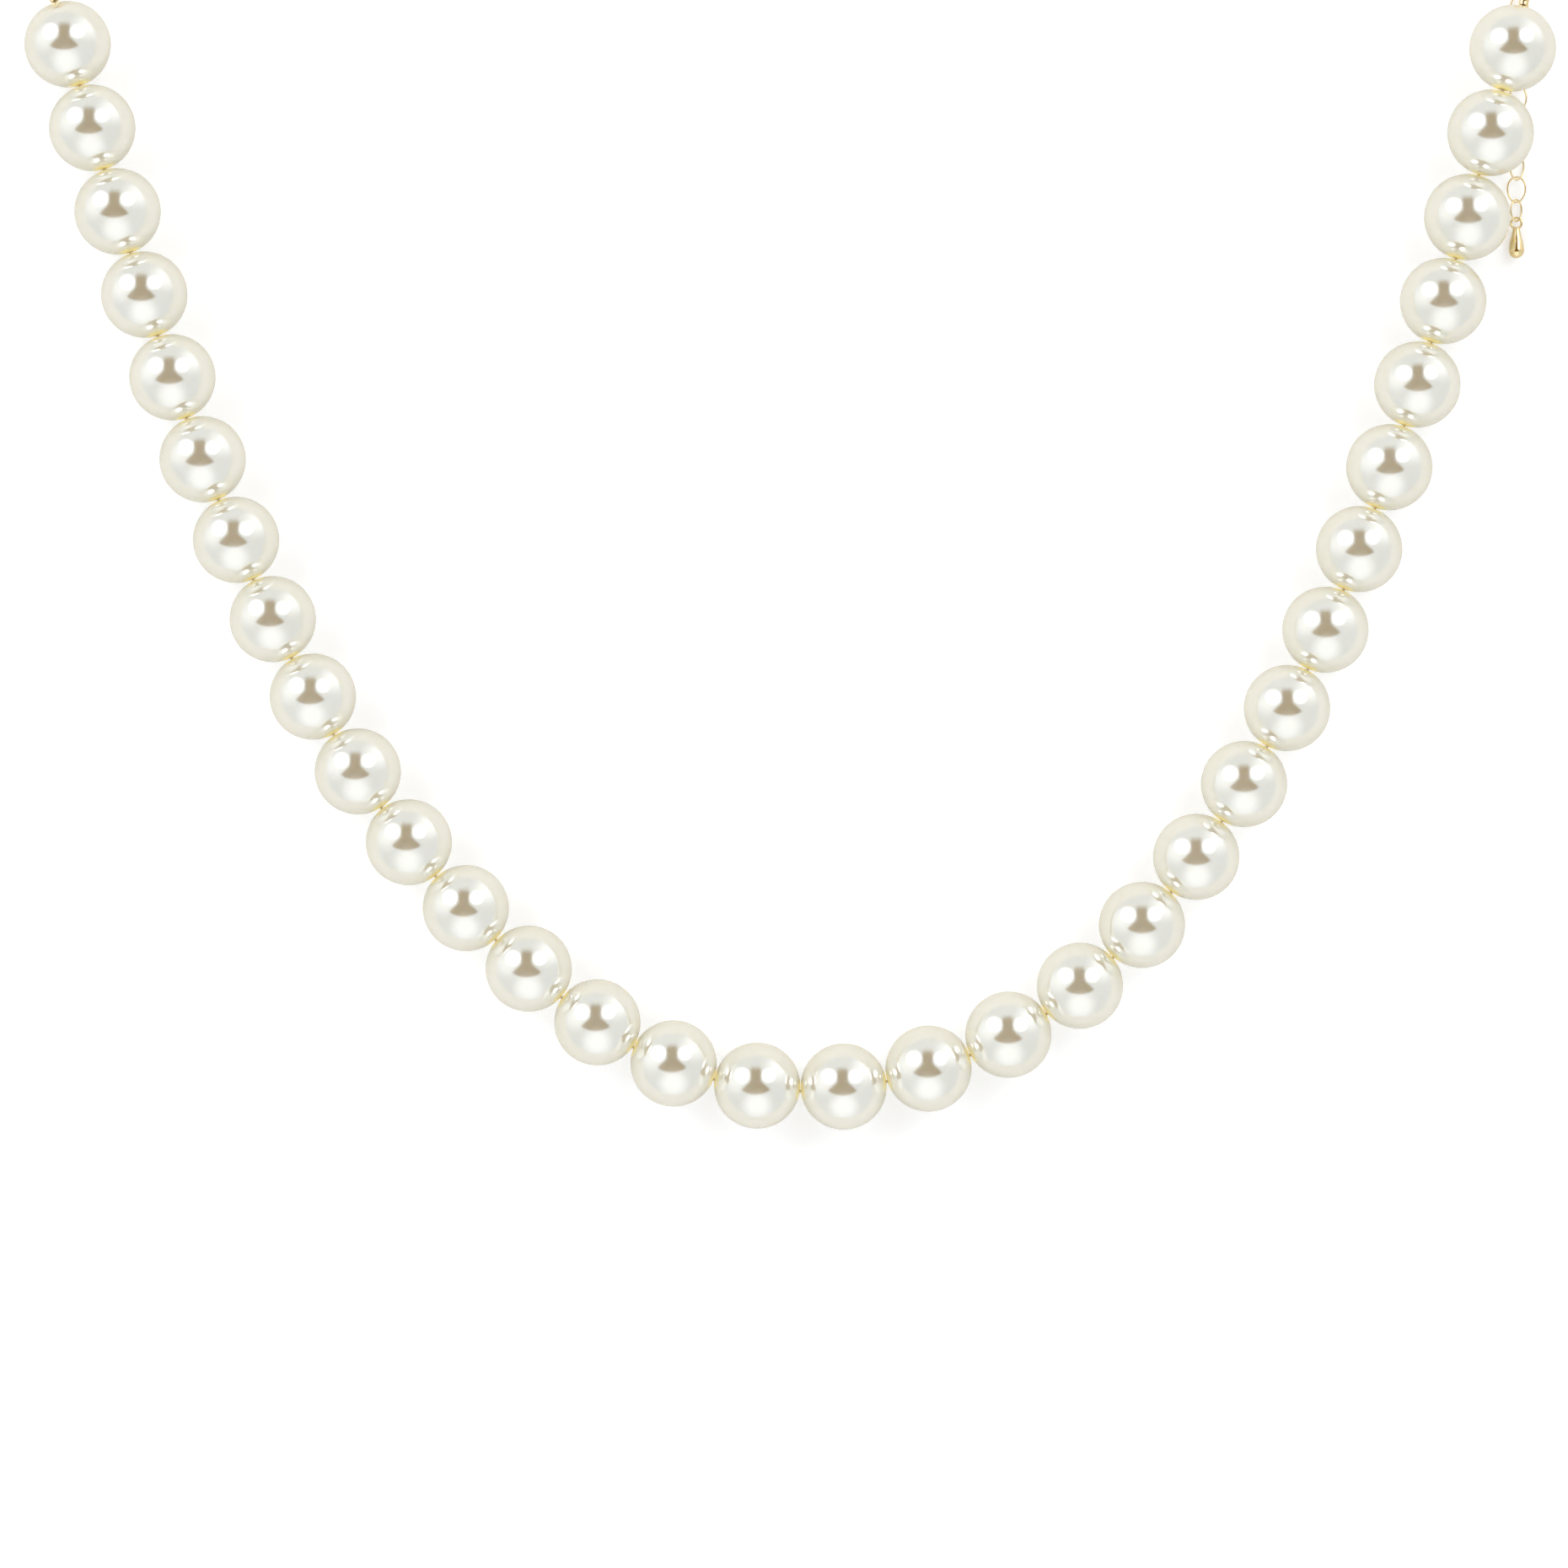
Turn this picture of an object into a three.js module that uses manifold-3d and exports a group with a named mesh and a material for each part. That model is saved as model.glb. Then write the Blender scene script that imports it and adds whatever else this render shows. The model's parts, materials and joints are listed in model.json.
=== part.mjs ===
// A necklace of large round pearls strung on one beading wire, laid out flat as an open U. A lobster clasp
// hangs on its left end, and an extender chain with a small drop hangs on its right end and lies back
// beside the strand, under the last two pearls. Millimetres, +Z up, everything rests on z = 0.
import * as THREE from "three";
import { mergeVertices } from "three/addons/utils/BufferGeometryUtils.js";
import Module from "manifold-3d";

const wasm = await Module();
wasm.setup();

// Driving dimensions.
const PEARL_COUNT = 32;
const PEARL_RADIUS = 6;
const PEARL_GAP = 0.2;
const PEARL_SIDES = 16;
const PEARL_BANDS = 9;
const BORE_RADIUS = 0.5;
const PITCH = 2 * PEARL_RADIUS + PEARL_GAP;
const THREAD_RADIUS = 0.22;
const WIRE_SIDES = 8;

// The line on which the strand lies, seen from above: down the left side, round the bottom, up the right.
const DRAPE = [
  [-102.1, 152.3],
  [-91.5, 117],
  [-79, 82],
  [-63, 49.5],
  [-49, 30],
  [-31.5, 13],
  [-15.5, 3],
  [2, -0.5],
  [19, 2],
  [36.5, 10],
  [54.5, 27.5],
  [73.5, 58.5],
  [87, 92.5],
  [97.5, 127.5],
  [105, 157],
];
const DRAPE_SAMPLES = 6000;
// How far the last two gaps are lifted, because the extender chain lies under the last two pearls.
const GAP_LIFT = new Map([
  [PEARL_COUNT - 1, 1.9],
  [PEARL_COUNT, 1.5],
]);

const CRIMP_LENGTH = 1.2;
const CRIMP_RADIUS = 0.68;
const CRIMP_BORE = 0.34;
const CRIMP_GAP = 0.1;
const CRIMP_RIM = 0.86;
const LOOP_WIRE = 0.2;
const LOOP_HALF_WIDTH = 1.05;
const LEG_SPREAD = 0.26;
// The clearance of a close fit, and how little play the hanging chain's links have where they cross.
const FIT_GAP = 0.08;
const LINK_PLAY = 0.025;

const CLASP_RING = { radius: 2.1, wire: 0.35 };
const END_RING = { radius: 2.6, wire: 0.35 };
const RING_CLEARANCE = 0.02;
const LOOP_REACH = { clasp: 2.6, end: 3.2 };

const LINK_COUNT = 10;
const LINK_WIRE = 0.15;
const LINK_HALF_WIDTH = 1.25;
const LINK_HALF_LENGTH = 1.775;
const LINK_PITCH = 3.2;
const LINK_TAPER = 0.1;
// Where the first link crosses the ring: how far inside the ring's lower quarter, and how high.
const CHAIN_START = { inside: 0.78, height: 1.12 };
// The height of the crossings in the chain's upper and lower part, and how far it drifts inwards.
const CHAIN_HEIGHT = { upper: 0.8, lower: 0.92, lowerFrom: 7 };
const CHAIN_DRIFT = 0.5;
// Each link leans the other way from the one before it, by these angles from flat.
const LINK_LEAN = [38, -26, 26, -26, 26, -26, 26, -30, 34, -14];
const DROP_LINK = { halfWidth: 0.98, halfLength: 1.5, lean: 36 };
const DROP = {
  eyeRadius: 0.72,
  eyeWire: 0.22,
  neckRadius: 0.52,
  shoulderRadius: 0.73,
  bulbRadius: 1.08,
  length: 4.2,
  lean: -12,
};

// The clasp, measured from the middle of its eye.
const EYE = { height: 1.4, fromRing: 1.55, inner: 1.0, outer: 1.6, halfThickness: 0.6 };
const HOOK = { x: 7.5, outer: 3.2, inner: 1.9, tip: 1.2 };
const BODY_THICKNESS = 2.6;
const BODY_BEVEL = 0.35;
const SLOT = { width: 1.5, length: 3.4, depth: 4.6, x: 3.6, y: 1.7 };
const LEVER_THICKNESS = 1.3;
const LEVER_HUB = 0.8;
const PIVOT = new THREE.Vector2(3.3, 1.7);
const PIVOT_BORE = 0.44;
const RIVET_RADIUS = 0.38;
const RIVET_HEAD = 0.05;
const SPRING_WIRE = 0.12;

const pearlLacquer = new THREE.MeshStandardMaterial({ color: 0xf3eee2, roughness: 0.18, metalness: 0.25 });
const gold = new THREE.MeshStandardMaterial({ color: 0xe0b96c, roughness: 0.2, metalness: 1 });
const beadingWire = new THREE.MeshStandardMaterial({ color: 0xcdb887, roughness: 0.35, metalness: 0.9 });
const springSteel = new THREE.MeshStandardMaterial({ color: 0xa8a8a4, roughness: 0.35, metalness: 1 });

const UP = new THREE.Vector3(0, 0, 1);
const necklace = new THREE.Group();

function add(parent, name, geometry, material) {
  const mesh = new THREE.Mesh(geometry, material);
  mesh.name = name;
  parent.add(mesh);
  return mesh;
}

function solidOf(geometry) {
  const bare = geometry.clone();
  bare.deleteAttribute("normal");
  bare.deleteAttribute("uv");
  const merged = mergeVertices(bare, 1e-4);
  return new wasm.Manifold(
    new wasm.Mesh({
      numProp: 3,
      vertProperties: merged.attributes.position.array,
      triVerts: new Uint32Array(merged.index.array),
    }),
  );
}

function geometryOf(solid) {
  const mesh = solid.getMesh();
  const geometry = new THREE.BufferGeometry();
  geometry.setAttribute("position", new THREE.BufferAttribute(mesh.vertProperties, 3));
  geometry.setIndex(new THREE.BufferAttribute(mesh.triVerts, 1));
  geometry.computeVertexNormals();
  return geometry;
}

// A regular polygon, for the section of a wire.
function section(radius, sides) {
  const shape = new THREE.Shape();
  for (let i = 0; i < sides; i += 1) {
    const angle = (2 * Math.PI * i) / sides;
    const point = [radius * Math.cos(angle), radius * Math.sin(angle)];
    if (i === 0) shape.moveTo(...point);
    else shape.lineTo(...point);
  }
  return shape;
}

function tube(path, radius, steps) {
  return new THREE.ExtrudeGeometry(section(radius, WIRE_SIDES), { steps, extrudePath: path });
}

// A flat sleeve or washer shape, turned about Y from corners given as [radius, height].
function turned(corners, sides) {
  const profile = corners.map(([radius, height]) => new THREE.Vector2(radius, height));
  profile.push(profile[0].clone());
  return new THREE.LatheGeometry(profile, sides);
}

function flatPiece(shape, thickness, bevel) {
  const geometry = new THREE.ExtrudeGeometry(shape, {
    depth: thickness - 2 * bevel,
    curveSegments: 6,
    bevelEnabled: bevel > 0,
    bevelThickness: bevel,
    bevelSize: bevel,
    bevelOffset: -bevel,
    bevelSegments: 1,
  });
  return geometry.translate(0, 0, bevel - thickness / 2);
}

// Turns a piece so that its own Y axis runs along a direction and its Z axis points up as far as it can.
function pointAlong(mesh, direction, lean = 0) {
  const y = direction.clone().normalize();
  const z = UP.clone().addScaledVector(y, -UP.dot(y)).normalize();
  const x = new THREE.Vector3().crossVectors(y, z);
  mesh.quaternion.setFromRotationMatrix(new THREE.Matrix4().makeBasis(x, y, z));
  mesh.rotateY(THREE.MathUtils.degToRad(lean));
}

// The gaps between the pearls: points one pitch apart on the drape, the first before the first pearl.
function gapPoints() {
  const drape = new THREE.CatmullRomCurve3(DRAPE.map(([x, y]) => new THREE.Vector3(x, y, 0)));
  const fine = drape.getSpacedPoints(DRAPE_SAMPLES);
  const lift = (index) => GAP_LIFT.get(index) ?? 0;
  const found = [fine[0]];
  for (const point of fine) {
    if (found.length > PEARL_COUNT) break;
    const rise = lift(found.length) - lift(found.length - 1);
    const plan = Math.sqrt(PITCH * PITCH - rise * rise);
    if (point.distanceTo(found[found.length - 1]) >= plan) found.push(point);
  }
  return found.map((p, index) => new THREE.Vector3(p.x, p.y, PEARL_RADIUS + lift(index)));
}

const gaps = gapPoints();

// A pearl drilled along Y. Its sides stand outside the sphere by so little that a face of the middle
// band lies at the pearl's radius, which gives it a small true flat to rest on.
function pearlGeometry() {
  const first = Math.asin(BORE_RADIUS / PEARL_RADIUS);
  const spread = 1 / Math.cos(Math.PI / PEARL_SIDES);
  const corners = [];
  for (let i = 0; i <= PEARL_BANDS; i += 1) {
    const angle = first + ((Math.PI - 2 * first) * i) / PEARL_BANDS;
    const nearMiddle = Math.abs(i - PEARL_BANDS / 2) < 1;
    const radius = nearMiddle ? PEARL_RADIUS : PEARL_RADIUS * Math.sin(angle);
    corners.push([radius * spread, -PEARL_RADIUS * Math.cos(angle)]);
  }
  return turned(corners, PEARL_SIDES).rotateY(Math.PI / PEARL_SIDES);
}

const pearl = pearlGeometry();
for (let i = 1; i <= PEARL_COUNT; i += 1) {
  const mesh = add(necklace, `pearl_${String(i).padStart(2, "0")}`, pearl, pearlLacquer);
  mesh.position.addVectors(gaps[i - 1], gaps[i]).multiplyScalar(0.5);
  pointAlong(mesh, new THREE.Vector3().subVectors(gaps[i], gaps[i - 1]));
}

// The two ends of the strand: where each leaves the last pearl, and which way it points.
const last = gaps.length - 1;
const leftOut = new THREE.Vector3().subVectors(gaps[0], gaps[1]).normalize();
const rightOut = new THREE.Vector3().subVectors(gaps[last], gaps[last - 1]).normalize();
const along = (start, direction, distance) => start.clone().addScaledVector(direction, distance);
const leftFace = along(gaps[0], leftOut, CRIMP_GAP + CRIMP_LENGTH);
const rightFace = along(gaps[last], rightOut, CRIMP_GAP + CRIMP_LENGTH);

// The beading wire, straight through each pearl, from the outer face of one crimp to that of the other.
const stops = [along(leftFace, leftOut, -FIT_GAP), ...gaps.slice(1, -1), along(rightFace, rightOut, -FIT_GAP)];
const threadPath = new THREE.CurvePath();
for (let i = 1; i < stops.length; i += 1) threadPath.add(new THREE.LineCurve3(stops[i - 1], stops[i]));
threadPath.getPoint = function pointOfStep(t, target = new THREE.Vector3()) {
  const place = Math.min(t * this.curves.length, this.curves.length - 1e-9);
  return this.curves[Math.floor(place)].getPoint(place % 1, target);
};
threadPath.getTangentAt = function tangentOfStep(t) {
  const step = 0.02 / this.curves.length;
  const before = this.getPoint(Math.max(t - step, 0));
  return this.getPoint(Math.min(t + step, 1)).sub(before).normalize();
};
add(necklace, "strand_thread", tube(threadPath, THREAD_RADIUS, 2 * PEARL_COUNT), beadingWire);

// A crimp bead: a short barrel squeezed on the wire, with a rounded rim.
const crimp = turned(
  [
    [CRIMP_BORE, 0],
    [CRIMP_RIM * CRIMP_RADIUS, 0],
    [CRIMP_RADIUS, 0.25 * CRIMP_LENGTH],
    [CRIMP_RADIUS, 0.75 * CRIMP_LENGTH],
    [CRIMP_RIM * CRIMP_RADIUS, CRIMP_LENGTH],
    [CRIMP_BORE, CRIMP_LENGTH],
  ],
  12,
);
[
  ["crimp_left", gaps[0], leftOut],
  ["crimp_right", gaps[last], rightOut],
].forEach(([name, start, direction]) => {
  const mesh = add(necklace, name, crimp, gold);
  mesh.position.copy(along(start, direction, CRIMP_GAP));
  pointAlong(mesh, direction);
});

// The loop that the wire makes outside its crimp: a long drop shape lying in X and Y, its legs at the start.
function wireLoop(length) {
  const half = [
    [LEG_SPREAD, 0],
    [0.55 * LOOP_HALF_WIDTH, 0.28 * length],
    [LOOP_HALF_WIDTH, 0.66 * length],
    [0.72 * LOOP_HALF_WIDTH, 0.91 * length],
  ];
  const outline = [...half, [0, length], ...half.map(([x, y]) => [-x, y]).reverse()];
  const path = new THREE.CatmullRomCurve3(outline.map(([x, y]) => new THREE.Vector3(x, y, 0)));
  return tube(path, LOOP_WIRE, 22);
}

// A ring stands on its edge, in line with a wire loop that comes down to its near upper quarter.
// Returns the ring's centre.
function hangRing(prefix, ring, face, heading, reach, material) {
  const flat = new THREE.Vector3(heading.x, heading.y, 0).normalize();
  const centreHeight = ring.radius + ring.wire + RING_CLEARANCE;
  const offset = ring.radius * Math.SQRT1_2;
  const hold = along(face, flat, reach).setZ(centreHeight + offset);
  const centre = along(hold, flat, offset).setZ(centreHeight);
  const mesh = add(necklace, `${prefix}_jump_ring`, new THREE.TorusGeometry(ring.radius, ring.wire, 8, 20), material);
  mesh.position.copy(centre);
  pointAlong(mesh, flat);
  mesh.rotateY(Math.PI / 2);
  const start = along(face, heading, FIT_GAP);
  const fall = new THREE.Vector3().subVectors(hold, start);
  const length = fall.length() + ring.wire + LOOP_WIRE + FIT_GAP;
  const loop = add(necklace, `${prefix}_wire_loop`, wireLoop(length), beadingWire);
  loop.position.copy(start);
  pointAlong(loop, fall);
  return centre;
}

const straightUp = new THREE.Vector3(0, 1, 0);
const claspRingCentre = hangRing("clasp", CLASP_RING, leftFace, leftOut, LOOP_REACH.clasp, gold);
const endRingCentre = hangRing("extender", END_RING, rightFace, straightUp, LOOP_REACH.end, gold);

// A link of round wire: a torus whose ring is drawn out to an oval a little narrower at its far end.
function ovalLink(halfWidth, halfLength, wire, taper) {
  const geometry = new THREE.TorusGeometry(halfWidth, wire, 6, 18);
  const position = geometry.attributes.position;
  for (let i = 0; i < position.count; i += 1) {
    const angle = Math.atan2(position.getY(i), position.getX(i));
    const out = Math.hypot(position.getX(i), position.getY(i)) - halfWidth;
    const narrow = 1 + taper * Math.sin(angle);
    const middle = new THREE.Vector2(halfWidth * narrow * Math.cos(angle), halfLength * Math.sin(angle));
    const normal = new THREE.Vector2(halfLength * Math.cos(angle), halfWidth * Math.sin(angle)).normalize();
    middle.addScaledVector(normal, out);
    position.setXY(i, middle.x, middle.y);
  }
  return geometry;
}

// The extender chain runs from the ring's lower quarter straight back beside the strand.
const CHAIN_DOWN = new THREE.Vector3(0, -1, 0);
const chainStart = new THREE.Vector3(
  endRingCentre.x,
  endRingCentre.y - END_RING.radius * Math.SQRT1_2 + CHAIN_START.inside,
  CHAIN_START.height,
);
const chainHeight = (index) => (index < CHAIN_HEIGHT.lowerFrom ? CHAIN_HEIGHT.upper : CHAIN_HEIGHT.lower);
const chainGaps = [chainStart];
for (let i = 1; i <= LINK_COUNT; i += 1) {
  const across = endRingCentre.x - (CHAIN_DRIFT * i) / LINK_COUNT;
  chainGaps.push(new THREE.Vector3(across, chainStart.y - i * LINK_PITCH, chainHeight(i)));
}
const link = ovalLink(LINK_HALF_WIDTH, LINK_HALF_LENGTH, LINK_WIRE, LINK_TAPER);
for (let i = 1; i <= LINK_COUNT; i += 1) {
  const mesh = add(necklace, `extender_link_${String(i).padStart(2, "0")}`, link, gold);
  mesh.position.addVectors(chainGaps[i - 1], chainGaps[i]).multiplyScalar(0.5);
  pointAlong(mesh, new THREE.Vector3().subVectors(chainGaps[i - 1], chainGaps[i]), LINK_LEAN[i - 1]);
}

// The small link that carries the drop, then the drop: a solid teardrop with an eye, lying on its side.
const dropLink = add(
  necklace,
  "drop_link",
  ovalLink(DROP_LINK.halfWidth, DROP_LINK.halfLength, LINK_WIRE, 0),
  gold,
);
const dropLinkPitch = DROP_LINK.halfLength - LINK_WIRE - LINK_PLAY;
dropLink.position.copy(along(chainGaps[LINK_COUNT], CHAIN_DOWN, dropLinkPitch));
pointAlong(dropLink, straightUp, DROP_LINK.lean);

function dropGeometry() {
  const eye = new THREE.TorusGeometry(DROP.eyeRadius, DROP.eyeWire, 8, 16);
  const top = -DROP.eyeRadius;
  const bulb = top - DROP.length + DROP.bulbRadius;
  const profile = [new THREE.Vector2(0, top - DROP.length)];
  for (let degrees = -60; degrees <= 30; degrees += 30) {
    const angle = THREE.MathUtils.degToRad(degrees);
    const point = [DROP.bulbRadius * Math.cos(angle), bulb + DROP.bulbRadius * Math.sin(angle)];
    profile.push(new THREE.Vector2(...point));
  }
  profile.push(new THREE.Vector2(DROP.shoulderRadius, top - DROP.length / 3));
  profile.push(new THREE.Vector2(DROP.neckRadius, top));
  profile.push(new THREE.Vector2(0, top));
  return geometryOf(solidOf(eye).add(solidOf(new THREE.LatheGeometry(profile, 12))));
}
// It rests on its bulb, so its axis rises a little from the link to the bulb.
const dropHold = along(chainGaps[LINK_COUNT], CHAIN_DOWN, 2 * dropLinkPitch);
const eyeDistance = DROP.eyeRadius - DROP.eyeWire - LINK_PLAY;
const bulbDistance = eyeDistance + DROP.eyeRadius + DROP.length - DROP.bulbRadius;
const bulbCentre = along(dropHold, CHAIN_DOWN, bulbDistance).setZ(DROP.bulbRadius + RING_CLEARANCE);
const dropAxis = new THREE.Vector3().subVectors(dropHold, bulbCentre).normalize();
const drop = add(necklace, "drop", dropGeometry(), gold);
drop.position.copy(along(dropHold, dropAxis, -eyeDistance));
pointAlong(drop, dropAxis, DROP.lean);

// The lobster clasp lies flat beyond its jump ring. Its own X runs from the eye to the tip of the hook.
const clasp = new THREE.Group();
clasp.position.copy(along(claspRingCentre, leftOut, EYE.fromRing)).setZ(EYE.height);
clasp.rotation.z = Math.atan2(leftOut.y, leftOut.x);
necklace.add(clasp);

function claspBody() {
  const shape = new THREE.Shape();
  shape.moveTo(1.2, -0.9);
  shape.bezierCurveTo(2.8, -1.4, 4.4, -HOOK.outer, HOOK.x, -HOOK.outer);
  shape.absarc(HOOK.x, 0, HOOK.outer, -Math.PI / 2, HOOK.tip, false);
  shape.lineTo(HOOK.x + HOOK.inner * Math.cos(HOOK.tip), HOOK.inner * Math.sin(HOOK.tip));
  shape.absarc(HOOK.x, 0, HOOK.inner, HOOK.tip, -Math.PI / 2, true);
  shape.bezierCurveTo(6.2, -HOOK.inner, 5.2, -1.7, 4.5, -0.9);
  shape.lineTo(4.5, 2.7);
  shape.bezierCurveTo(3.2, 2.9, 2.3, 1.5, 1.2, 0.9);
  const eye = turned(
    [
      [EYE.inner, -EYE.halfThickness],
      [EYE.outer, -EYE.halfThickness],
      [EYE.outer, EYE.halfThickness],
      [EYE.inner, EYE.halfThickness],
    ],
    18,
  ).rotateX(Math.PI / 2);
  const slot = new THREE.BoxGeometry(SLOT.length, SLOT.depth, SLOT.width).translate(SLOT.x, SLOT.y, 0);
  const bore = new THREE.CylinderGeometry(PIVOT_BORE, PIVOT_BORE, 2 * BODY_THICKNESS, 16);
  bore.rotateX(Math.PI / 2).translate(PIVOT.x, PIVOT.y, 0);
  const body = solidOf(flatPiece(shape, BODY_THICKNESS, BODY_BEVEL)).add(solidOf(eye));
  return geometryOf(body.subtract(solidOf(slot)).subtract(solidOf(bore)));
}

function claspLever() {
  const shape = new THREE.Shape();
  shape.absarc(PIVOT.x, PIVOT.y, LEVER_HUB, 2.2, -1.2, false);
  shape.lineTo(5.4, 1.75);
  shape.lineTo(7.75, 1.8);
  shape.lineTo(8.05, 2.9);
  shape.lineTo(5.6, 2.95);
  shape.lineTo(5.3, 3.95);
  shape.lineTo(4.4, 4.05);
  shape.lineTo(4.0, 2.95);
  const hole = new THREE.Path();
  hole.absarc(PIVOT.x, PIVOT.y, PIVOT_BORE, 0, 2 * Math.PI, true);
  shape.holes.push(hole);
  return flatPiece(shape, LEVER_THICKNESS, 0);
}

function claspSpring() {
  const bends = [
    [4.3, 0.55],
    [3.2, 0.35],
    [2.35, 0.1],
    [2.3, -0.2],
    [3.2, -0.3],
    [4.2, -0.3],
  ];
  const path = new THREE.CatmullRomCurve3(bends.map(([x, y]) => new THREE.Vector3(x, y, 0)));
  return tube(path, SPRING_WIRE, 14);
}

add(clasp, "clasp_body", claspBody(), gold);
add(clasp, "clasp_lever", claspLever(), gold);
add(clasp, "clasp_spring", claspSpring(), springSteel);
const rivet = add(
  clasp,
  "clasp_rivet",
  new THREE.CylinderGeometry(RIVET_RADIUS, RIVET_RADIUS, BODY_THICKNESS + 2 * RIVET_HEAD, 16),
  gold,
);
rivet.rotation.x = Math.PI / 2;
rivet.position.set(PIVOT.x, PIVOT.y, 0);

// The origin is the middle of the bottom of the necklace's box.
necklace.updateMatrixWorld(true);
const box = new THREE.Box3().setFromObject(necklace, true);
const centre = box.getCenter(new THREE.Vector3());
necklace.children.forEach((child) => child.position.sub(new THREE.Vector3(centre.x, centre.y, box.min.z)));

export default necklace;
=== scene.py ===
import json
import math

import bmesh
import bpy
import numpy as np
from mathutils import Matrix, Vector


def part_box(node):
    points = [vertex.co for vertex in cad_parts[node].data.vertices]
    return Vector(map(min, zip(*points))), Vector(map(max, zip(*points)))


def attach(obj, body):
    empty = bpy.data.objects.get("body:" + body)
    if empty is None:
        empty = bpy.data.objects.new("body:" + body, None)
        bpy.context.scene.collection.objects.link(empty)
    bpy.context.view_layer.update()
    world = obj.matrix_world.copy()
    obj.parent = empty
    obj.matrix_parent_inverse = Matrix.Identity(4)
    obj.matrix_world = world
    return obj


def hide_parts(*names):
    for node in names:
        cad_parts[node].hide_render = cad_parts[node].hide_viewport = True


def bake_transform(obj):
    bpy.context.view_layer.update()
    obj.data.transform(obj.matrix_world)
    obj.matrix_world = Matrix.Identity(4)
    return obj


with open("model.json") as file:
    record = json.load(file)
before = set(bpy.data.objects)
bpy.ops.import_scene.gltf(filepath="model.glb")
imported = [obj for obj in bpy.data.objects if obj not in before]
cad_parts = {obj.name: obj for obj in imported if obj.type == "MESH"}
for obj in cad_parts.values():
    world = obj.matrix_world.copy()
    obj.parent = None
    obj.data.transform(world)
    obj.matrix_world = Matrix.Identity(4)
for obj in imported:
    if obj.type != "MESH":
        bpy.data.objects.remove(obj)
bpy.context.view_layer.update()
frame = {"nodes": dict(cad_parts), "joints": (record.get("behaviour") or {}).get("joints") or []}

MM = 0.001
PEARL_COUNT = 32
LINK_COUNT = 10

# In metres. The pearls all but touch, and are a little larger than the faceted CAD solids.
PEARL_RADIUS = 6.045 * MM
PEARL_SIDES = 72
PEARL_BANDS = 44
PEARL_SPIN = math.radians(137.5)
BORE_RADIUS = 0.5 * MM
BORE_LIP = 0.16 * MM
LIP_STEPS = 5
THREAD_RADIUS = 0.22 * MM
THREAD_SIDES = 12

# From here to the camera, all measures are in millimetres. A "wire" is a radius.
FIT_GAP = 0.08
CRIMP = {"gap": 0.1, "length": 1.2, "radius": 0.68, "bore": 0.34, "lip": 0.06, "squeeze": 0.2}
# The end and outside of the barrel: parts of its radius and of its length, up to its middle.
CRIMP_OUTLINE = ((0.8, 0.0), (0.93, 0.04), (1.0, 0.14), (0.97, 0.36), (0.95, 0.5))
LOOP = {"wire": 0.2, "half_width": 1.05, "legs": 0.26, "sunk": 0.14}
# One side of the loop beyond its legs: parts of its half width and of its length.
LOOP_OUTLINE = ((0.55, 0.28), (1.0, 0.66), (0.72, 0.91))
RINGS = {
    "clasp": {"radius": 2.1, "wire": 0.35, "pearl": "pearl_01"},
    "extender": {"radius": 2.61, "wire": 0.31, "pearl": "pearl_32"},
}
RING_SLIT = 0.06
LINK = {"half_width": 1.26, "half_length": 1.795, "wire": 0.12, "taper": 0.1}
DROP_LINK = {"half_width": 1.0, "half_length": 1.525, "wire": 0.12, "taper": 0.0}
LINK_SLIT = 0.025
DROP = {"eye_radius": 0.745, "eye_wire": 0.18, "bulb_radius": 1.08, "length": 4.2}
# From the bulb up to the eye, whose middle is at a height of 0: radius and height.
DROP_NECK = ((0.95, -2.75), (0.74, -2.0), (0.6, -1.35), (0.52, -0.9), (0.42, -0.7))

# The clasp, in millimetres from the middle of its eye, with X towards the tip of its hook. The hook
# runs about the middle (x, 0), and its nose stays clear of the lever's sweep about the pivot.
EYE = {"inner": 1.0, "outer": 1.6, "half_thickness": 0.6, "rim": 0.2}
HOOK = {"x": 7.5, "outer": 3.2, "inner": 1.9, "sweep": 4.98}
BODY = {"thickness": 2.6, "rim": 0.56, "depth": 0.55, "bore": 0.44}
BELLY = ((1.2, -0.9), (2.8, -1.4), (4.4, -HOOK["outer"]), (HOOK["x"], -HOOK["outer"]))
THROAT = ((HOOK["x"], -HOOK["inner"]), (6.2, -HOOK["inner"]), (5.2, -1.7), (4.5, -0.9))
SHOULDER = {"middle": (3.85, 2.05), "radius": 0.65}
BACK = ((3.85, 2.7), (3.0, 2.75), (2.3, 1.5), (1.2, 0.9))
HEEL = ((1.2, 0.2), (1.2, -0.2))
SLOT = {
    "corners": ((1.9, -0.6), (5.3, -0.6), (5.3, 4.0), (1.9, 4.0)),
    "corner_radius": 0.35,
    "thickness": 1.5,
    "rim": 0.08,
}
PIVOT = (3.3, 1.7)
# The lever's hub is an arc about the pivot between two angles, and the rest is a rounded outline.
LEVER = {
    "hub": 0.8,
    "from": 2.2,
    "to": 2 * math.pi - 1.2,
    "thickness": 1.3,
    "rim": 0.16,
    "depth": 0.2,
}
LEVER_CORNERS = (
    (5.4, 1.75),
    (8.15, 1.8),
    (8.02, 2.86),
    (5.6, 2.95),
    (5.3, 3.95),
    (4.4, 4.05),
    (4.0, 2.95),
)
LEVER_CORNER_RADIUS = 0.32
# One half of the rivet: radius and height above the body's side, then the shaft's own heights.
RIVET_HEAD = ((0.02, 0.06), (0.22, 0.045), (0.34, 0.0), (0.38, -0.07))
RIVET_SHAFT = {"radius": 0.38, "heights": (0.6, 0.0, -0.6)}
SPRING_WIRE = 0.12
SPRING_BENDS = ((4.3, 0.55), (3.2, 0.35), (2.35, 0.1), (2.3, -0.2), (3.2, -0.3), (4.2, -0.3))

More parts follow.
